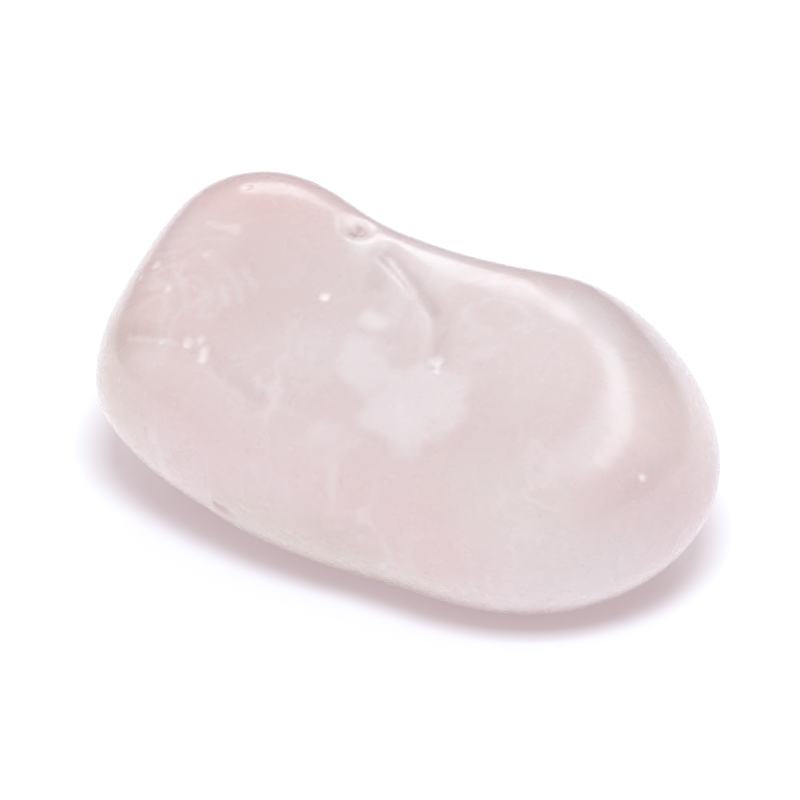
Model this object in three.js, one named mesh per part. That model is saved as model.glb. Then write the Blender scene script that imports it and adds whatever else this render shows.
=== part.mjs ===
// A tumbled stone of milky rose quartz: one solid, long and kidney shaped, with worn flats and healed scars.
import * as THREE from "three";
import { mergeVertices } from "three/addons/utils/BufferGeometryUtils.js";

// Driving dimensions in millimetres: X runs along the stone, Y from its front to its back, Z up.
const LENGTH = 25.6;
const WIDTH = 14.7;
const HEIGHT = 12.7;
const LOBE_MELT = 2.4; // how far the lobes flow into one another
const FLAT_EDGE = 2.0; // width of the soft edge round the worn top and the bowls
const FLANK_EDGE = 3.0; // width of the softer edges at the two ends and the back
const FOOT_EDGE = 0.6; // width of the edge round the spot it rests on
const FOOT_SINK = 0.05; // how far that soft edge lies below the spot, which makes the spot truly flat
const SCAR_RADIUS = 0.42; // radius of the round cuts that leave the scars
const SCAR_EDGE = 0.35; // softness of the scars' rims

// How finely the skin is divided, and how much closer its points lie on the scarred side.
const SKIN_DETAIL = 21;
const SKIN_PULL = new THREE.Vector3(-0.05, -0.16, 0.36);
const LONGEST_RAY = 2 * LENGTH;
const RAY_HALVINGS = 44;

const SLOPE_STEP = 0.02;
const SEAM_MERGE = 1e-5; // how close two corners of the unit ball lie to be one
const ON_FOOT = 1e-6; // how close to the foot's plane a corner lies to be on it
const SCAR_START = 0.4; // height inside the stone, as a share, that the scars' places are looked up from
const UP = new THREE.Vector3(0, 0, 1);
const AXES = [new THREE.Vector3(1, 0, 0), new THREE.Vector3(0, 1, 0), UP];
const DEG = Math.PI / 180;

// A place inside the stone, as shares of its length, width and height from the middle of its foot.
function place(x, y, z) {
  return new THREE.Vector3(x * LENGTH, y * WIDTH, z * HEIGHT);
}

// An ellipsoid with its radii as shares of the length, width and height, turned about Z and then tipped.
function lobe(centre, along, across, up, turn = 0, tip = 0) {
  return {
    centre,
    radii: place(along, across, up),
    back: new THREE.Quaternion()
      .setFromEuler(new THREE.Euler(0, tip * DEG, turn * DEG, "ZYX"))
      .invert(),
  };
}

// A worn flat: the side it faces and how far it lies from the middle of the foot.
function flat(x, y, z, reach, edge) {
  return { side: new THREE.Vector3(x, y, z).normalize(), reach, edge };
}

const TRUNK = lobe(place(-0.04, -0.045, 0.44), 0.498, 0.491, 0.472, -4, 2);
const HEAD = lobe(place(-0.312, 0.034, 0.566), 0.213, 0.35, 0.464);
const SHOULDER = lobe(place(0.225, -0.085, 0.413), 0.248, 0.456, 0.389);

const WORN_FLATS = [
  flat(-0.86, -0.1, 0.5, 0.571 * LENGTH, FLANK_EDGE),
  flat(0.67, 0.51, 0.53, 0.508 * LENGTH, FLANK_EDGE),
  flat(-0.09, 0.95, 0.3, 0.515 * WIDTH, FLANK_EDGE),
  flat(0.01, -0.47, 0.875, 0.789 * HEIGHT, FLAT_EDGE),
];

// Shallow bowls: the chipped top of the head, the skin beside the groove's lower end, and the waist at the back.
const BOWLS = [
  { centre: place(-0.26, -0.62, 1.66), radius: 0.465 * LENGTH },
  { centre: place(0.075, -0.68, 1.27), radius: 0.277 * LENGTH },
  { centre: place(0.012, 0.71, 1.02), radius: 0.328 * LENGTH },
];

function smoothMin(a, b, width) {
  const overlap = Math.max(width - Math.abs(a - b), 0) / width;
  return Math.min(a, b) - (overlap * overlap * width) / 4;
}

function smoothMax(a, b, width) {
  return -smoothMin(-a, -b, width);
}

// Roughly how far a point lies outside a lobe.
function outsideLobe(point, { centre, radii, back }) {
  const local = point.clone().sub(centre).applyQuaternion(back);
  const once = local.clone().divide(radii);
  const twice = once.clone().divide(radii);
  return (once.length() * (once.length() - 1)) / Math.max(twice.length(), 1e-9);
}

// The worn body before its scars and its foot: negative inside, zero on the skin.
function outsideBody(point) {
  let depth = smoothMin(outsideLobe(point, TRUNK), outsideLobe(point, HEAD), LOBE_MELT);
  depth = smoothMin(depth, outsideLobe(point, SHOULDER), LOBE_MELT);
  for (const { side, reach, edge } of WORN_FLATS) {
    depth = smoothMax(depth, point.dot(side) - reach, edge);
  }
  for (const { centre, radius } of BOWLS) {
    depth = smoothMax(depth, radius - point.distanceTo(centre), FLAT_EDGE);
  }
  return depth;
}

// Where a ray from a start inside a shape meets the shape's skin, found by halving.
function skinPoint(start, direction, outsideShape) {
  let inside = 0;
  let outside = LONGEST_RAY;
  const point = new THREE.Vector3();
  for (let i = 0; i < RAY_HALVINGS; i++) {
    const middle = (inside + outside) / 2;
    point.copy(start).addScaledVector(direction, middle);
    if (outsideShape(point) < 0) {
      inside = middle;
    } else {
      outside = middle;
    }
  }
  return point;
}

// The way the body's skin faces at a point, from how the outside distance changes round it.
function facing(point) {
  const [x, y, z] = AXES.map((axis) => {
    const ahead = point.clone().addScaledVector(axis, SLOPE_STEP);
    const behind = point.clone().addScaledVector(axis, -SLOPE_STEP);
    return outsideBody(ahead) - outsideBody(behind);
  });
  return new THREE.Vector3(x, y, z).normalize();
}

// A scar is a round cut drawn along the skin, through places given as they are seen from above.
function scar(depth, ...places) {
  return places.map(([x, y]) => {
    const point = skinPoint(place(x, y, SCAR_START), UP, outsideBody);
    return point.addScaledVector(facing(point), SCAR_RADIUS - depth);
  });
}

const NOTCH = scar(0.28, [-0.122, 0.045]);
const GROOVE = scar(
  0.1,
  [-0.058, 0.0],
  [-0.011, -0.05],
  [0.025, -0.092],
  [0.059, -0.132],
  [0.081, -0.191],
  [0.095, -0.251],
);
const RIM = scar(0.1, [-0.42, -0.283], [-0.341, -0.327], [-0.263, -0.343], [-0.209, -0.386], [-0.148, -0.428]);
const SCARS = [NOTCH, GROOVE, RIM];

// How far a point lies outside a scar's round cut.
function outsideScar(point, path) {
  const nearest = new THREE.Vector3();
  let distance = point.distanceTo(path[0]);
  for (let i = 1; i < path.length; i++) {
    new THREE.Line3(path[i - 1], path[i]).closestPointToPoint(point, true, nearest);
    distance = Math.min(distance, point.distanceTo(nearest));
  }
  return distance - SCAR_RADIUS;
}

// The finished stone: the body with its scars cut and its foot worn flat.
function outsideStone(point) {
  let depth = outsideBody(point);
  for (const cut of SCARS) {
    depth = smoothMax(depth, -outsideScar(point, cut), SCAR_EDGE);
  }
  depth = smoothMax(depth, -point.z - FOOT_SINK, FOOT_EDGE);
  return Math.max(depth, -point.z);
}

// An even ball of triangles, each corner moved out to the stone's skin.
function stoneGeometry() {
  const ball = new THREE.IcosahedronGeometry(1, SKIN_DETAIL);
  ball.deleteAttribute("normal");
  ball.deleteAttribute("uv");
  const skin = mergeVertices(ball, SEAM_MERGE);
  const corners = skin.getAttribute("position");
  const heart = place(0, -0.03, 0.47);
  const direction = new THREE.Vector3();
  for (let i = 0; i < corners.count; i++) {
    direction.fromBufferAttribute(corners, i).add(SKIN_PULL).normalize();
    const { x, y, z } = skinPoint(heart, direction, outsideStone);
    corners.setXYZ(i, x, y, Math.abs(z) < ON_FOOT ? 0 : z);
  }
  return skin;
}

// The finished box is exactly the driving length, width and height, with the foot's plane at zero.
function fitToSize(geometry) {
  geometry.computeBoundingBox();
  const { min, max } = geometry.boundingBox;
  geometry.translate(-(min.x + max.x) / 2, -(min.y + max.y) / 2, 0);
  geometry.scale(LENGTH / (max.x - min.x), WIDTH / (max.y - min.y), HEIGHT / max.z);
  geometry.computeVertexNormals();
  return geometry;
}

const roseQuartz = new THREE.MeshStandardMaterial({ color: 0xe2d2d4, roughness: 0.28, metalness: 0 });

const stone = new THREE.Mesh(fitToSize(stoneGeometry()), roseQuartz);
stone.name = "stone";

const tumbledStone = new THREE.Group();
tumbledStone.add(stone);

export default tumbledStone;
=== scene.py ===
"""A tumbled stone of rose quartz on a pale studio floor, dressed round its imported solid."""

import math
import random
from collections import namedtuple

import bpy
import numpy as np
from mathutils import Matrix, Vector, noise


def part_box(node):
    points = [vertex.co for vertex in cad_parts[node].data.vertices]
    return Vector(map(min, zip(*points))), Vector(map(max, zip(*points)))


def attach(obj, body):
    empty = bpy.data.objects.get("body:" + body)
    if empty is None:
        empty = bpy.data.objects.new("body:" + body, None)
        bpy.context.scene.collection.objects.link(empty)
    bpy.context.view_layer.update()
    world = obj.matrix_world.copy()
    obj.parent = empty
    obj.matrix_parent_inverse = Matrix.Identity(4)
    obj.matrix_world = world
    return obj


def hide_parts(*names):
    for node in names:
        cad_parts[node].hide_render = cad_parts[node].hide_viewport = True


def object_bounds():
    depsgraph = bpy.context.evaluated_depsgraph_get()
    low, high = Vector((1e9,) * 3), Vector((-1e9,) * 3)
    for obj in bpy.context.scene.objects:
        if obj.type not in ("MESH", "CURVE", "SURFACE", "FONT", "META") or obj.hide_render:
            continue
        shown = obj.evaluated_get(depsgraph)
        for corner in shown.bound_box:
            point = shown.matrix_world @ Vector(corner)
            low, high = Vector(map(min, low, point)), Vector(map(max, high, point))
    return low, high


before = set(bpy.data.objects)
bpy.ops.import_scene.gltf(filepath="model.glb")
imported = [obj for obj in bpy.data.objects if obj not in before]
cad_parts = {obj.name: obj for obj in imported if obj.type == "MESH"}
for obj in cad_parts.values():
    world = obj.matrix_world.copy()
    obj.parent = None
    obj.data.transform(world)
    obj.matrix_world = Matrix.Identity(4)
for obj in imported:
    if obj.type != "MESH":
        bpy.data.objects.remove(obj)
CAD_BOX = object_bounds()

bl_info = {
    "name": "Tumbled Stone",
    "version": (1, 0, 0),
    "blender": (4, 5, 0),
    "location": "View3D > Sidebar > Stone",
    "description": "Makes a polished rose quartz pebble and the studio it is shown in",
    "category": "Add Mesh",
}

# Names of the imported solid and its body, and of the pieces made here.
SOLID = "stone"
BODY = "root"
STONE = "polished_stone"
FLOOR = "studio_floor"
MM = 0.001
DOWN = Vector((0, 0, -1))
FAR_OFF = 1.0  # metres: well outside the stone

# The skin: how finely its block is cut, and how often it and the cast it is drawn onto are smoothed.
SKIN_CUTS = (15, 7)
SKIN_ROUNDS = 24
CAST_LEVELS = 2
CAST_ROUNDS = 6
SMOOTHING = 0.5
MERGE_DISTANCE = 0.001 * MM

# The swells begin this far above the foot, in millimetres, and are whole one millimetre higher.
SWELL_START = 0.2

# A mark on the skin: its spots in millimetres as they are seen from above, X along the stone and Y towards
# its back, half its width in millimetres, its dip as a share of the deepest, how frosted or whitened as a
# painted glint, how dark with painted shade, and how milky or lightened as a painted sheen it is.
Mark = namedtuple("Mark", "spots half_width dip frost shade milk", defaults=(0.0, 0.0, 0.0, 0.0))

# The colour that each tint of a mark lays over the stone. Frost also paints glints, shade is painted
# shade, and milk also paints sheen.
TINTS = {"milk": "veil", "frost": "frost", "shade": "crack"}

# A mark's edge wanders by a share of its half width, on a grain as wide as two half widths.
EDGE_WANDER = 0.6
EDGE_GRAIN = 0.5
MARK_REACH = 2.0  # how far out a mark is looked for, in half widths
TINT_FILL = 1.6  # how much sooner a mark's colour is full than its dip
LEAST_DIP = 0.004  # the share of the deepest dip below which the skin is left alone

CRACK = ((-1.1, 1.4), (-0.4, 0.95), (0.2, 0.6), (0.75, 0.2), (1.25, -0.15), (1.7, -0.45))
CRACK_LIP = ((-0.6, 0.8), (0.1, 0.2), (0.75, -0.35), (1.3, -0.85), (1.75, -1.5), (2.05, -2.1))
HEAD_CREST = ((-8.3, 0.6), (-7.7, 0.55), (-7.1, 0.5))
HEAD_EDGE = ((-10.1, 0.3), (-9.6, -0.5), (-8.9, -1.4), (-7.7, -2.6))
HEAD_STREAKS = (
    ((-6.7, -1.0), (-6.1, -1.4), (-5.7, -1.9)),
    ((-6.1, -0.9), (-5.4, -1.3)),
    ((-6.6, -1.6), (-6.1, -2.2)),
)
RIM_CREASE = ((-9.6, -3.35), (-8.7, -3.6), (-7.6, -3.7))
RIM_CURVE = ((-6.3, -4.3), (-5.3, -4.75), (-4.0, -5.2))
# The crescent of painted sheen on the broad end, laid under its highlight.
CRESCENT_SHEEN = ((6.6, 1.6), (7.6, 1.3), (8.6, 0.4), (9.4, -0.9), (9.75, -2.4), (9.5, -4.0))
NOTCH = (-2.75, 2.1)
NOTCH_RING = 0.5

# What is scattered: the kind of mark, how many, how many spots each has and how far these drift as they go.
Scatter = namedtuple("Scatter", "kind number spots drift")
SCATTERED = (
    Scatter(Mark((), 0.2, dip=0.5, frost=0.45), 46, 1, 0.0),
    Scatter(Mark((), 0.16, dip=0.15, frost=0.22), 22, 3, 0.035),
    Scatter(Mark((), 0.35, milk=0.5), 9, 7, 0.09),
)
SCATTER_SEED = 11
SCATTER_SIZES = (0.6, 1.3)  # the least and the greatest width, as shares of the kind's own
DRIFT_WOBBLE = 0.25  # how far each spot strays, as a share of the drift
MARKED_SIDE = Vector((0.3, -0.6, 0.75)).normalized()
MARKED_REACH = 0.15  # the cosine of how far round the marked side nothing is scattered

# A zone of the stone: its colour and strength, its middle and radii in millimetres, its turn in degrees, the
# width of its soft edge as a share of its radius, and how ragged that edge is.
Zone = namedtuple("Zone", "colour strength middle radii turn edge ragged", defaults=(0, 0.9, 0.5))
ZONES = (
    # The head: pinker where the stone is clearest, and darkened with painted shade where its top faces the
    # light.
    Zone("deep", 0.9, (-7.3, 2.4, 11.8), (4.6, 2.6, 2.6), edge=0.8, ragged=0.6),
    Zone("deep", 0.5, (-9.5, -1.0, 9.0), (3.5, 3.5, 3.0), ragged=0.6),
    Zone("veil", 0.15, (-0.5, -6.3, 6.5), (6.0, 2.5, 3.0)),
    Zone("veil", 0.3, (-1.8, -3.3, 9.8), (2.8, 2.0, 2.0), ragged=0.6),
    Zone("veil", 0.4, (6.0, -1.5, 10.6), (5.0, 4.0, 3.0), ragged=0.6),
    # The saddle, lightened as a painted sheen where the soft highlight lies along it.
    Zone("veil", 0.5, (0.5, 1.5, 11.3), (3.5, 2.4, 1.8), ragged=0.6),
    Zone("veil", 0.8, (2.9, -4.1, 9.1), (1.9, 2.6, 2.0), turn=26, edge=0.5, ragged=1.6),
    Zone("veil", 0.75, (0.4, -3.5, 9.4), (1.4, 2.1, 1.6), turn=40, edge=0.6, ragged=1.6),
    Zone("veil", 0.7, (1.9, -5.0, 8.6), (2.0, 1.2, 1.4), turn=-20, edge=0.6, ragged=1.6),
    # Painted light: the outer wall of the broad end made lighter and rosier where it faces the dim side of the
    # room.
    Zone("painted_wall_light", 0.8, (11.2, 0.6, 8.4), (3.2, 4.6, 3.6)),
    Zone("cool", 0.75, (7.6, -6.3, 7.0), (4.6, 3.2, 3.4), edge=1.0),
    Zone("cool", 0.8, (9.5, -5.0, 4.2), (5.8, 5.0, 3.8)),
    # Painted shade: darker and sandier low on the front and over the narrow end, against the light the floor
    # throws up.
    Zone("warm_shade", 0.85, (-1.0, -5.5, 2.2), (11.5, 4.6, 4.6)),
    Zone("warm_shade", 0.85, (-11.5, -2.5, 5.2), (6.2, 7.0, 6.6)),
    Zone("rust", 0.8, (-4.75, -5.5, 3.15), (0.9, 0.9, 0.5), edge=0.8, ragged=0.8),
)

# The veils that fold through the whole stone.
Veil = namedtuple("Veil", "strength stretch scale thinness spread")
VEILS = (
    Veil(0.55, (1.0, 1.0, 0.6), 0.28, 0.05, 0.42),
    Veil(0.25, (0.6, 1.2, 1.0), 0.45, 0.06, 0.46),
)

# The polish: its roughness where it is smoothest and dullest, and what whole frost, painted glints
# included, adds to it.
SATIN = (0.22, 0.34)
FROST_ROUGHNESS = 0.35
NOISE_MIDDLE = 0.5  # the value that the noise wanders about

# A softbox: azimuth from the stone's broad end and elevation in degrees, width and depth in metres, and its
# share of the glow. The floor light falls on the floor alone, from over the camera's shoulder.
Softbox = namedtuple("Softbox", "name azimuth elevation width depth glow")
SOFTBOXES = (
    Softbox("right_softbox", 32, 69, 0.9, 0.22, 0.53),
    Softbox("back_softbox", 124, 48, 0.34, 0.25, 0.69),
)
FLOOR_LIGHT = Softbox("floor_light", -62, 54, 0.2, 0.2, 1.0)

# The side of the room that is brightest, overhead and to the front, and the shade of the side away from it.
OPEN_SIDE = (-0.05, -0.6, 0.8)
ROOM_SHADE = (0.34, 0.28, 0.29, 1)
ROOM_WHITE = (1.0, 1.0, 1.0, 1)

# The camera: the width of its sensor in millimetres, and in metres how near it still sees.
SENSOR_WIDTH = 36
NEAREST_SEEN = 0.01


def deselect_all():
    """Deselects everything, because an operator acts on all that is selected."""
    if bpy.context.object and bpy.context.object.mode != "OBJECT":
        bpy.ops.object.mode_set(mode="OBJECT")
    bpy.ops.object.select_all(action="DESELECT")


def make_active(item):
    """Selects one object alone and makes it the active one."""
    deselect_all()
    item.select_set(True)
    bpy.context.view_layer.objects.active = item


def apply_modifier(item, kind, **settings):
    """Adds a modifier with these settings and applies it at once."""
    make_active(item)
    bpy.ops.object.modifier_add(type=kind)
    modifier = item.modifiers[-1]
    for name, value in settings.items():
        setattr(modifier, name, value)
    bpy.ops.object.modifier_apply(modifier=modifier.name)


def middle_of(box):
    """Gives the middle of a box from its lowest and its highest corner."""
    low, high = (Vector(corner) for corner in box)
    return (low + high) / 2


# The stone's skin

def worn_cast(name):
    """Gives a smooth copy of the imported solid, which the skin is drawn onto and which is then thrown away."""
    make_active(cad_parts[name])
    bpy.ops.object.duplicate()
    cast = bpy.context.object
    bpy.ops.object.mode_set(mode="EDIT")
    bpy.ops.mesh.select_all(action="SELECT")
    bpy.ops.mesh.remove_doubles(threshold=MERGE_DISTANCE)
    bpy.ops.object.mode_set(mode="OBJECT")
    apply_modifier(cast, "SUBSURF", levels=CAST_LEVELS, render_levels=CAST_LEVELS)
    apply_modifier(cast, "SMOOTH", factor=SMOOTHING, iterations=CAST_ROUNDS)
    return cast


def round_block(name, box):
    """Adds a cube over a box, cuts it into a fine grid and rounds it into an egg that fills the box."""
    deselect_all()
    bpy.ops.mesh.primitive_cube_add(size=2, location=middle_of(box))
    block = bpy.context.object
    block.name = name
    bpy.ops.object.mode_set(mode="EDIT")
    bpy.ops.mesh.select_all(action="SELECT")
    for number in SKIN_CUTS:
        bpy.ops.mesh.subdivide(number_cuts=number)
    bpy.ops.transform.tosphere(value=1)
    bpy.ops.object.mode_set(mode="OBJECT")
    low, high = (Vector(corner) for corner in box)
    block.scale = (high - low) / max(block.dimensions)
    bpy.ops.object.transform_apply(location=True, rotation=True, scale=True)
    return block


def draw_onto(skin, cast):
    """Draws the skin onto the cast, evens out its grid and draws it on again."""
    wrap = {"target": cast, "use_negative_direction": True, "use_positive_direction": True}
    apply_modifier(skin, "SHRINKWRAP", wrap_method="PROJECT", **wrap)
    apply_modifier(skin, "SMOOTH", factor=SMOOTHING, iterations=SKIN_ROUNDS)
    apply_modifier(skin, "SHRINKWRAP", wrap_method="PROJECT", **wrap)


def swell_skin(skin, depth, size):
    """Gives the skin the soft swells that tumbling leaves, all of them inwards and none at the foot."""
    clouds = bpy.data.textures.new("skin_swells", "CLOUDS")
    clouds.noise_scale = size
    clouds.noise_depth = 1
    group = skin.vertex_groups.new(name="above_foot")
    for vertex in skin.data.vertices:
        above = vertex.co.z / MM - SWELL_START
        group.add([vertex.index], min(max(above, 0), 1), "REPLACE")
    apply_modifier(
        skin, "DISPLACE", direction="NORMAL", texture=clouds, texture_coords="LOCAL",
        strength=depth, mid_level=1, vertex_group="above_foot",
    )


def meet_skin(skin, start, way):
    """Gives the place, in millimetres, where a ray from outside meets the skin."""
    found, place, *_ = skin.ray_cast(start, way)
    if not found:
        raise RuntimeError(f"no skin on the way from {tuple(start)}")
    return np.array(place) / MM


def nearest_on(path, points):
    """Gives each point's distance from a path of straight stretches, or from the path's one place."""
    nearest = np.linalg.norm(points - path[0], axis=1)
    for start, end in zip(path, path[1:]):
        run = end - start
        along = np.clip((points - start) @ run / (run @ run), 0, 1)
        nearest = np.minimum(nearest, np.linalg.norm(points - start - along[:, None] * run, axis=1))
    return nearest


def ring(centre, radius, steps=16):
    """Gives the spots round a ring, the last the same as the first."""
    angles = np.linspace(0, 2 * math.pi, steps + 1)
    return [(centre[0] + radius * math.cos(a), centre[1] + radius * math.sin(a)) for a in angles]


def named_marks(skin):
    """Gives the marks that the stone's front and top carry, each with its places on the skin."""
    marks = [
        # The groove with painted shade in it, its lip painted a little paler where it catches the light, the
        # painted shadow beside it, and at its lower end a pale blob and a pit with a painted glint.
        Mark(CRACK, 0.34, shade=0.22),
        Mark(CRACK_LIP, 0.3, frost=0.06),
        Mark(((-1.45, 1.2), (-1.1, 0.5), (-0.9, -0.2)), 0.45, shade=0.3),
        Mark(((-0.5, -1.6), (0.0, -1.65)), 0.5, frost=0.25, milk=0.5),
        Mark(((2.75, -2.4),), 0.34, dip=0.5, frost=0.8),

        # Two lone chips, one on the head, whitened as a painted glint, and one on the broad end.
        Mark(((-2.57, -1.14),), 0.22, dip=0.4, frost=0.9),
        Mark(((11.55, -3.1),), 0.22, dip=0.5, frost=0.8),

        # The notch, its hollow darkened with painted shade and its rim ringed with a painted highlight, and the
        # milky patch before it.
        Mark((NOTCH,), 0.4, shade=0.3),
        Mark(ring(NOTCH, NOTCH_RING), 0.24, frost=0.4),
        Mark(((-2.3, 1.2), (-1.5, 1.9)), 0.6, milk=0.7),

        # The worn crest and edge of the head, with three small chips.
        Mark(HEAD_CREST, 0.22, frost=0.14),
        Mark((HEAD_CREST[-1],), 0.26, dip=0.2, frost=0.3),
        Mark(HEAD_EDGE, 0.22, shade=0.12),
        Mark(((-7.8, -0.6),), 0.22, dip=0.3, frost=0.3),
        Mark(((-8.7, -2.0),), 0.22, dip=0.3, frost=0.4),

        # The crease along the head's rim, and the cluster of chips at its end, frosted and whitened as painted
        # glints.
        Mark(RIM_CREASE, 0.2, dip=0.2, frost=0.25),
        Mark(RIM_CURVE, 0.24, frost=0.08),
        Mark(((-8.1, -3.72),), 0.22, dip=0.4, frost=0.55),
        Mark(((-7.05, -3.7),), 0.26, dip=0.5, frost=0.6),
        Mark(((-6.55, -3.55),), 0.22, dip=0.4, frost=0.5),
        Mark(((-6.3, -3.85), (-6.2, -4.1)), 0.28, dip=0.4, frost=0.65),

        # A painted sheen: a milky band under the crescent highlight on the broad end.
        Mark(CRESCENT_SHEEN, 1.4, milk=0.6),
    ]
    marks += [Mark(streak, 0.28, milk=0.4) for streak in HEAD_STREAKS]
    for mark in marks:
        yield [meet_skin(skin, Vector((x * MM, y * MM, FAR_OFF)), DOWN) for x, y in mark.spots], mark


def scattered_marks(skin):
    """Scatters pits, short scuffs and long milky lines over the sides that the named marks leave bare."""
    dice = random.Random(SCATTER_SEED)
    middle = middle_of(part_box(SOLID))

    def any_way():
        return Vector([dice.gauss(0, 1) for axis in range(3)]).normalized()

    def place_towards(side):
        way = side.normalized()
        return meet_skin(skin, middle + way * FAR_OFF, -way)

    for kind, number, spots, drift in SCATTERED:
        for repeat in range(number):
            side = any_way()
            while side.dot(MARKED_SIDE) > MARKED_REACH:
                side = any_way()
            step = any_way() * drift
            places = [place_towards(side + step * i + any_way() * drift * DRIFT_WOBBLE) for i in range(spots)]
            size = dice.uniform(*SCATTER_SIZES)
            yield places, kind._replace(half_width=kind.half_width * size)


def press_marks(skin, depth):
    """Presses the marks into the skin and writes down where they are frosted or whitened as glints, where they
    are darkened with painted shade, and where they are milky or lightened as painted sheen.
    """
    mesh = skin.data
    points = np.empty(len(mesh.vertices) * 3)
    mesh.vertices.foreach_get("co", points)
    points = points.reshape(-1, 3) / MM
    pressed = np.zeros(len(points))
    tints = {name: np.zeros(len(points)) for name in TINTS}
    for path, mark in (*named_marks(skin), *scattered_marks(skin)):
        reach = nearest_on(path, points)
        near = np.flatnonzero(reach < MARK_REACH * mark.half_width)
        ragged = np.array([noise.noise(Vector(points[i]) * EDGE_GRAIN / mark.half_width) for i in near])
        shape = np.clip(1 - reach[near] / (mark.half_width * (1 + EDGE_WANDER * ragged)), 0, 1)
        soft = shape * shape * (3 - 2 * shape)
        pressed[near] = np.maximum(pressed[near], mark.dip * soft)
        for name, values in tints.items():
            spread = soft if name == "milk" else np.clip(TINT_FILL * shape, 0, 1)
            values[near] = np.maximum(values[near], getattr(mark, name) * spread)
    group = skin.vertex_groups.new(name="marks")
    for index in np.flatnonzero(pressed > LEAST_DIP):
        group.add([int(index)], float(pressed[index]), "REPLACE")
    for name, values in tints.items():
        attribute = mesh.attributes.new(name, "FLOAT", "POINT")
        attribute.data.foreach_set("value", values.astype(np.float32))
    apply_modifier(skin, "DISPLACE", direction="NORMAL", strength=-depth, mid_level=0, vertex_group="marks")


# Shader trees

def add_node(tree, kind, inputs=None, **settings):
    """Adds a node of a kind with its settings, and with values or links for its inputs by name or number."""
    node = tree.nodes.new(kind)
    for name, value in settings.items():
        setattr(node, name, value)
    for key, value in (inputs or {}).items():
        if isinstance(value, bpy.types.NodeSocket):
            tree.links.new(value, node.inputs[key])
        else:
            node.inputs[key].default_value = value
    return node


def add_maths(tree, operation, *values):
    """Gives the result of a sum on single values."""
    return add_node(tree, "ShaderNodeMath", dict(enumerate(values)), operation=operation).outputs[0]


def add_vector_maths(tree, operation, *vectors):
    """Gives the result of a sum on vectors, which is itself a vector."""
    return add_node(tree, "ShaderNodeVectorMath", dict(enumerate(vectors)), operation=operation).outputs[0]


def add_ramp(tree, value, low, high, start=0.0, end=1.0, kind="SMOOTHSTEP"):
    """Gives start where a value is low and end where it is high, and what lies between on the way."""
    return add_node(
        tree, "ShaderNodeMapRange",
        {"Value": value, "From Min": low, "From Max": high, "To Min": start, "To Max": end},
        interpolation_type=kind,
    ).outputs["Result"]


def mix_colours(tree, share, under, over):
    """Lays a share of one colour over another, by the Mix node's colour sockets."""
    return add_node(tree, "ShaderNodeMix", {0: share, 6: under, 7: over}, data_type="RGBA").outputs[2]


def new_group(name, inputs, outputs):
    """Starts a node group with named inputs and outputs, each a name, a kind and, for inputs, a default."""
    tree = bpy.data.node_groups.new(name, "ShaderNodeTree")
    for label, kind, default in inputs:
        socket = tree.interface.new_socket(name=label, in_out="INPUT", socket_type=f"NodeSocket{kind}")
        socket.default_value = default
    for label, kind in outputs:
        tree.interface.new_socket(name=label, in_out="OUTPUT", socket_type=f"NodeSocket{kind}")
    return tree, tree.nodes.new("NodeGroupInput").outputs, tree.nodes.new("NodeGroupOutput").inputs


def soft_patch_group():
    """A ragged, soft-edged patch of the stone round a place inside it."""
    tree, given, result = new_group(
        "soft_patch",
        (
            ("Place", "Vector", (0, 0, 0)), ("Centre", "Vector", (0, 0, 0)), ("Radii", "Vector", (1, 1, 1)),
            ("Turn", "Float", 0.0), ("Edge", "Float", 0.5), ("Raggedness", "Float", 0.5),
        ),
        (("Mask", "Float"),),
    )
    grain = add_node(tree, "ShaderNodeTexNoise", {"Vector": given["Place"], "Scale": 0.6, "Detail": 4})
    centred = add_vector_maths(tree, "SUBTRACT", grain.outputs["Color"], (NOISE_MIDDLE,) * 3)
    wander = add_node(
        tree, "ShaderNodeVectorMath", {0: centred, "Scale": given["Raggedness"]}, operation="SCALE",
    )
    away = add_vector_maths(tree, "SUBTRACT", given["Place"], given["Centre"])
    turned = add_node(
        tree, "ShaderNodeVectorRotate", {"Vector": away, "Angle": given["Turn"]}, rotation_type="Z_AXIS",
    )
    shares = add_vector_maths(tree, "DIVIDE", turned.outputs[0], given["Radii"])
    moved = add_vector_maths(tree, "ADD", shares, wander.outputs[0])
    reach = add_node(tree, "ShaderNodeVectorMath", {0: moved}, operation="LENGTH").outputs["Value"]
    inner = add_maths(tree, "SUBTRACT", 1.0, given["Edge"])
    mask = add_ramp(tree, reach, low=inner, high=1.0, start=1.0, end=0.0)
    tree.links.new(mask, result["Mask"])
    return tree


def veil_group():
    """Thin milky veils that fold through the stone, thicker in some places than in others."""
    tree, given, result = new_group(
        "milky_veils",
        (
            ("Place", "Vector", (0, 0, 0)), ("Stretch", "Vector", (1, 1, 1)), ("Scale", "Float", 0.2),
            ("Thinness", "Float", 0.04), ("Spread", "Float", 0.5),
        ),
        (("Mask", "Float"),),
    )
    drawn = add_vector_maths(tree, "MULTIPLY", given["Place"], given["Stretch"])
    folds = add_node(
        tree, "ShaderNodeTexNoise",
        {"Vector": drawn, "Scale": given["Scale"], "Detail": 3, "Roughness": 0.45, "Distortion": 1.2},
    )
    off = add_maths(tree, "SUBTRACT", folds.outputs["Fac"], NOISE_MIDDLE)
    width = add_maths(tree, "ABSOLUTE", off)
    sheet = add_ramp(tree, width, low=0.0, high=given["Thinness"], start=1.0, end=0.0)
    thick = add_node(tree, "ShaderNodeTexNoise", {"Vector": given["Place"], "Scale": 0.22, "Detail": 2})
    gate = add_ramp(tree, thick.outputs["Fac"], low=given["Spread"], high=0.75)
    tree.links.new(add_maths(tree, "MULTIPLY", sheet, gate), result["Mask"])
    return tree


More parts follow.
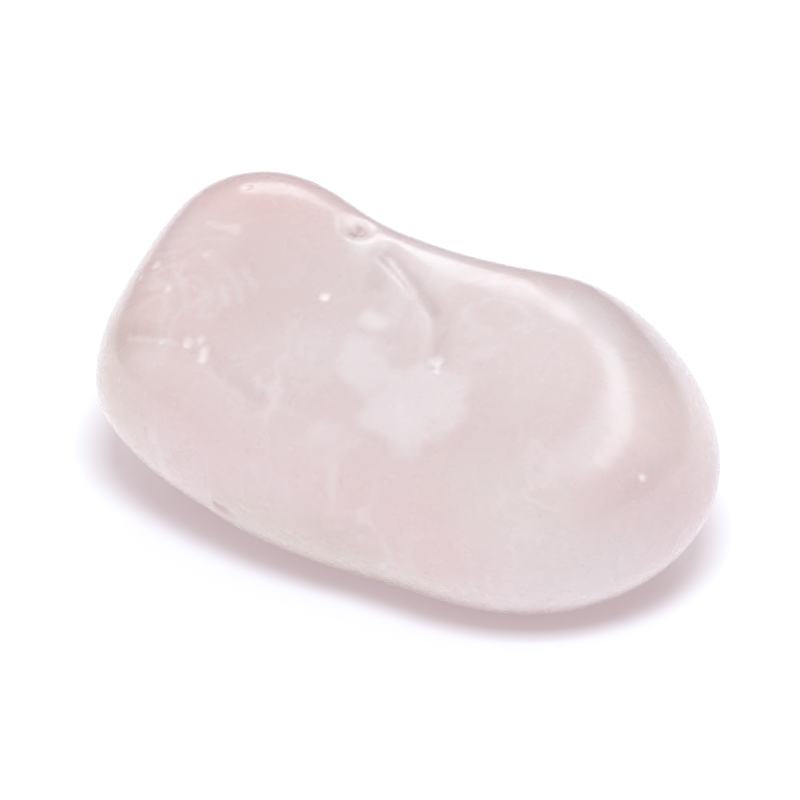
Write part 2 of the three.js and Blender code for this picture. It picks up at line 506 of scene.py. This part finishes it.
def quartz_material(colours):
    """Makes milky rose quartz: a cloudy, translucent body under a tumbled polish."""
    material = bpy.data.materials.new("rose_quartz")
    material.use_nodes = True
    tree = material.node_tree
    tree.nodes.clear()
    where = add_node(tree, "ShaderNodeTexCoord").outputs["Object"]
    place = add_node(tree, "ShaderNodeMapping", {"Vector": where, "Scale": (1 / MM,) * 3}).outputs["Vector"]

    def grain_of(scale, detail):
        return add_node(
            tree, "ShaderNodeTexNoise", {"Vector": place, "Scale": scale, "Detail": detail},
        ).outputs["Fac"]

    def with_tint(under, share, name):
        return mix_colours(tree, share, under, (*getattr(colours, name), 1))

    cloudy = add_ramp(tree, grain_of(scale=0.13, detail=2), low=0.35, high=0.68, end=0.5)
    colour = with_tint((*colours.body, 1), cloudy, "deep")

    patch = soft_patch_group()
    for zone in ZONES:
        mask = add_node(
            tree, "ShaderNodeGroup",
            {
                "Place": place, "Centre": zone.middle, "Radii": zone.radii, "Turn": math.radians(-zone.turn),
                "Edge": zone.edge, "Raggedness": zone.ragged,
            },
            node_tree=patch,
        ).outputs["Mask"]
        colour = with_tint(colour, add_maths(tree, "MULTIPLY", mask, zone.strength), zone.colour)

    folded = veil_group()
    for veil in VEILS:
        mask = add_node(
            tree, "ShaderNodeGroup",
            {
                "Place": place, "Stretch": veil.stretch, "Scale": veil.scale, "Thinness": veil.thinness,
                "Spread": veil.spread,
            },
            node_tree=folded,
        ).outputs["Mask"]
        colour = with_tint(colour, add_maths(tree, "MULTIPLY", mask, veil.strength), "veil")

    shares = {}
    for name, tint in TINTS.items():
        shares[name] = add_node(tree, "ShaderNodeAttribute", attribute_name=name).outputs["Fac"]
        colour = with_tint(colour, shares[name], tint)

    satin = add_ramp(
        tree, grain_of(scale=0.9, detail=4), low=0.3, high=0.7, start=SATIN[0], end=SATIN[1], kind="LINEAR",
    )
    roughness = add_maths(tree, "MULTIPLY_ADD", shares["frost"], FROST_ROUGHNESS, satin)
    height = grain_of(scale=1.8, detail=3)
    bump = add_node(tree, "ShaderNodeBump", {"Height": height, "Strength": 0.2, "Distance": 0.02 * MM})
    body = add_node(
        tree, "ShaderNodeBsdfPrincipled",
        {
            "Base Color": colour, "Roughness": roughness, "IOR": 1.54, "Normal": bump.outputs["Normal"],
            "Subsurface Weight": 1.0, "Subsurface Radius": (1.0, 0.8, 0.8), "Subsurface Scale": 0.004,
            "Coat Weight": 0.6, "Coat Roughness": 0.14, "Coat IOR": 1.5,
        },
    )
    add_node(tree, "ShaderNodeOutputMaterial", {"Surface": body.outputs["BSDF"]})
    return material


def floor_material(colour, glow):
    """Makes the plain matt floor, a light table that glows a little from below."""
    material = bpy.data.materials.new("floor_white")
    material.use_nodes = True
    shader = material.node_tree.nodes["Principled BSDF"]
    shader.inputs["Base Color"].default_value = (*colour, 1)
    shader.inputs["Roughness"].default_value = 0.9
    shader.inputs["Specular IOR Level"].default_value = 0.0
    shader.inputs["Emission Color"].default_value = (*glow, 1)
    shader.inputs["Emission Strength"].default_value = 1.0
    return material


# The studio

def white_room(strength):
    """Makes the soft light of a white room, dimmer and warmer low down behind the stone."""
    world = bpy.data.worlds.new("white_room")
    world.use_nodes = True
    tree = world.node_tree
    sky = tree.nodes["Background"]
    direction = add_node(tree, "ShaderNodeTexCoord").outputs["Generated"]
    facing = add_node(tree, "ShaderNodeVectorMath", {0: direction, 1: OPEN_SIDE}, operation="DOT_PRODUCT")
    openness = add_ramp(tree, facing.outputs["Value"], low=-0.1, high=0.75)
    tree.links.new(mix_colours(tree, openness, ROOM_SHADE, ROOM_WHITE), sky.inputs["Color"])
    sky.inputs["Strength"].default_value = strength
    return world


def aim_at_stone(item, azimuth, elevation, distance):
    """Puts a light or the camera on a side of the stone, facing it. Azimuth zero is the broad end."""
    level = math.cos(elevation)
    towards = Vector((math.cos(azimuth) * level, math.sin(azimuth) * level, math.sin(elevation)))
    item.location = middle_of(CAD_BOX) + towards * distance
    item.rotation_euler = (-towards).to_track_quat("-Z", "Y").to_euler()


def add_softbox(box, distance, glow, colour):
    """Hangs a soft rectangular light that shines at the stone, its glow a share of the one given."""
    deselect_all()
    bpy.ops.object.light_add(type="AREA")
    light = bpy.context.object
    light.name = box.name
    aim_at_stone(light, math.radians(box.azimuth), math.radians(box.elevation), distance)
    light.data.shape = "RECTANGLE"
    light.data.size = box.width
    light.data.size_y = box.depth
    light.data.energy = glow * box.glow * box.width * box.depth * math.pi
    light.data.color = colour
    light.visible_camera = False
    return light


def light_alone(light, item):
    """Lets a light fall on one object alone."""
    lit = bpy.data.collections.new(f"lit_by_{light.name}")
    lit.objects.link(item)
    light.light_linking.receiver_collection = lit


class StoneSizes(bpy.types.PropertyGroup):
    """Sizes of the stone's skin and its marks."""

    swell_depth: bpy.props.FloatProperty(
        name="Swell depth", default=0.1 * MM, unit="LENGTH", precision=5,
        description="How deep the soft swells of the tumbled skin run",
    )
    swell_size: bpy.props.FloatProperty(
        name="Swell size", default=3.6 * MM, unit="LENGTH", precision=5,
        description="How far apart the soft swells lie",
    )
    mark_depth: bpy.props.FloatProperty(
        name="Mark depth", default=0.16 * MM, unit="LENGTH", precision=5,
        description="How deep a pit of full strength goes under the skin",
    )


class QuartzColours(bpy.types.PropertyGroup):
    """Colours inside the stone."""

    body: bpy.props.FloatVectorProperty(
        name="Body", subtype="COLOR", size=3, default=(0.68, 0.568, 0.573),
        description="The pale pinkish grey of most of the stone",
    )
    # Also laid over the head's top as painted shade, where it faces the light.
    deep: bpy.props.FloatVectorProperty(
        name="Deep", subtype="COLOR", size=3, default=(0.675, 0.512, 0.506),
        description="The pinker zones, where the stone is clearest",
    )
    # Also laid as painted sheen under the crescent on the broad end and along the saddle.
    veil: bpy.props.FloatVectorProperty(
        name="Veil", subtype="COLOR", size=3, default=(0.742, 0.679, 0.693),
        description="The milky veils",
    )
    # Painted light: lightens the outer wall of the broad end, which faces the dim side of the room.
    painted_wall_light: bpy.props.FloatVectorProperty(
        name="Blush", subtype="COLOR", size=3, default=(0.78, 0.66, 0.645),
        description="The rosier skin on the outside of the broad end",
    )
    cool: bpy.props.FloatVectorProperty(
        name="Cool", subtype="COLOR", size=3, default=(0.67, 0.616, 0.608),
        description="The greyer zone low on the broad end",
    )
    # Painted shade, low on the stone and over its narrow end, against the light the floor throws up.
    warm_shade: bpy.props.FloatVectorProperty(
        name="Warm", subtype="COLOR", size=3, default=(0.604, 0.503, 0.442),
        description="The faintly sandy tone low on the narrow end and the front",
    )
    rust: bpy.props.FloatVectorProperty(
        name="Rust", subtype="COLOR", size=3, default=(0.42, 0.22, 0.22),
        description="The one small reddish stain low on the front",
    )
    # Also the painted glints of chips and pits, and the painted highlight round the notch and on the groove's
    # lip.
    frost: bpy.props.FloatVectorProperty(
        name="Frost", subtype="COLOR", size=3, default=(0.88, 0.84, 0.84),
        description="The whitish bruised skin of pits, chips and scratches",
    )
    # Painted shade for the bottom of the crack, the notch's hollow and the strip beside the groove; it also
    # darkens the faint line along the head's edge.
    crack: bpy.props.FloatVectorProperty(
        name="Crack", subtype="COLOR", size=3, default=(0.504, 0.392, 0.406),
        description="The dark bottom of the crack and the notch",
    )


class StageSettings(bpy.types.PropertyGroup):
    """The floor, the lights and the camera."""

    floor_radius: bpy.props.FloatProperty(
        name="Floor radius", default=1.5, unit="LENGTH",
        description="How far the floor reaches round the stone",
    )
    floor_colour: bpy.props.FloatVectorProperty(
        name="Floor", subtype="COLOR", size=3, default=(0.3, 0.3, 0.3),
        description="The colour the floor has by itself",
    )
    floor_glow: bpy.props.FloatVectorProperty(
        name="Floor glow", subtype="COLOR", size=3, default=(0.42, 0.335, 0.358),
        description="The light that comes up through the floor",
    )
    floor_light: bpy.props.FloatProperty(
        name="Floor light", default=89.0,
        description="How bright the light is that falls on the floor alone",
    )
    floor_light_colour: bpy.props.FloatVectorProperty(
        name="Floor light colour", subtype="COLOR", size=3, default=(0.72, 0.92, 1.0),
        description="The cool daylight that falls on the floor alone",
    )
    room_light: bpy.props.FloatProperty(
        name="Room light", default=1.045,
        description="How bright the even light of the white room is",
    )
    key_glow: bpy.props.FloatProperty(
        name="Softbox glow", default=4.0,
        description="How bright the softboxes look in the polish",
    )
    key_colour: bpy.props.FloatVectorProperty(
        name="Softbox colour", subtype="COLOR", size=3, default=(0.8, 0.97, 1.0),
        description="The cool daylight of the softboxes",
    )
    light_distance: bpy.props.FloatProperty(
        name="Softbox distance", default=0.75, unit="LENGTH",
        description="How far the softboxes hang from the stone",
    )
    azimuth: bpy.props.FloatProperty(
        name="Camera azimuth", subtype="ANGLE", default=math.radians(26),
        description="How far the camera stands round from the stone's front, towards its broad end",
    )
    elevation: bpy.props.FloatProperty(
        name="Camera elevation", subtype="ANGLE", default=math.radians(30),
        description="How far the camera looks down on the stone",
    )
    distance: bpy.props.FloatProperty(
        name="Camera distance", default=0.8, unit="LENGTH",
        description="How far the camera stands from the stone",
    )
    picture_width: bpy.props.FloatProperty(
        name="Picture width", default=30 * MM, unit="LENGTH", precision=5,
        description="How much the picture takes in at the stone",
    )


class STONE_OT_polished_stone(bpy.types.Operator):
    """Make the tumbled stone itself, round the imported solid"""

    bl_idname = "stone.polished_stone"
    bl_label = "Polished stone"

    def execute(self, context):
        sizes = context.scene.stone_sizes
        cast = worn_cast(SOLID)
        skin = round_block(STONE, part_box(SOLID))
        draw_onto(skin, cast)
        bpy.data.objects.remove(cast)
        swell_skin(skin, sizes.swell_depth, sizes.swell_size)
        press_marks(skin, sizes.mark_depth)
        make_active(skin)
        bpy.ops.object.shade_smooth()
        skin.data.materials.append(quartz_material(context.scene.quartz_colours))
        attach(skin, BODY)
        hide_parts(SOLID)
        return {"FINISHED"}


class STONE_OT_stage(bpy.types.Operator):
    """Lay the floor, hang the soft lights and set up the camera"""

    bl_idname = "stone.stage"
    bl_label = "Stage"

    def execute(self, context):
        stage = context.scene.stage_settings
        deselect_all()
        bpy.ops.mesh.primitive_circle_add(vertices=96, radius=stage.floor_radius, fill_type="NGON")
        floor = context.object
        floor.name = FLOOR
        floor.data.materials.append(floor_material(stage.floor_colour, stage.floor_glow))

        for box in SOFTBOXES:
            add_softbox(box, stage.light_distance, stage.key_glow, stage.key_colour)
        light = add_softbox(FLOOR_LIGHT, stage.light_distance, stage.floor_light, stage.floor_light_colour)
        light_alone(light, floor)
        context.scene.world = white_room(stage.room_light)
        context.scene.view_settings.view_transform = "Standard"

        deselect_all()
        bpy.ops.object.camera_add()
        camera = context.object
        aim_at_stone(camera, stage.azimuth - math.pi / 2, stage.elevation, stage.distance)
        camera.data.sensor_width = SENSOR_WIDTH
        camera.data.lens = SENSOR_WIDTH * stage.distance / stage.picture_width
        camera.data.clip_start = NEAREST_SEEN
        context.scene.camera = camera
        return {"FINISHED"}


class STONE_PT_panel(bpy.types.Panel):
    """Lists the stone's sizes and colours and the steps that make it"""

    bl_label = "Tumbled Stone"
    bl_idname = "STONE_PT_panel"
    bl_space_type = "VIEW_3D"
    bl_region_type = "UI"
    bl_category = "Stone"

    def draw(self, context):
        scene = context.scene
        for settings in (scene.stone_sizes, scene.quartz_colours, scene.stage_settings):
            box = self.layout.box()
            for name in settings.bl_rna.properties.keys():
                if name not in {"rna_type", "name"}:
                    box.prop(settings, name)
        for operator in STEPS:
            self.layout.operator(operator.bl_idname)


SETTINGS = {"stone_sizes": StoneSizes, "quartz_colours": QuartzColours, "stage_settings": StageSettings}
STEPS = (STONE_OT_stage, STONE_OT_polished_stone)
CLASSES = (*SETTINGS.values(), *STEPS, STONE_PT_panel)


def register():
    for cls in CLASSES:
        bpy.utils.register_class(cls)
    for name, cls in SETTINGS.items():
        setattr(bpy.types.Scene, name, bpy.props.PointerProperty(type=cls))


def unregister():
    for name in SETTINGS:
        delattr(bpy.types.Scene, name)
    for cls in reversed(CLASSES):
        bpy.utils.unregister_class(cls)


def main():
    register()
    bpy.ops.stone.stage()
    bpy.ops.stone.polished_stone()


if __name__ == "__main__":
    main()
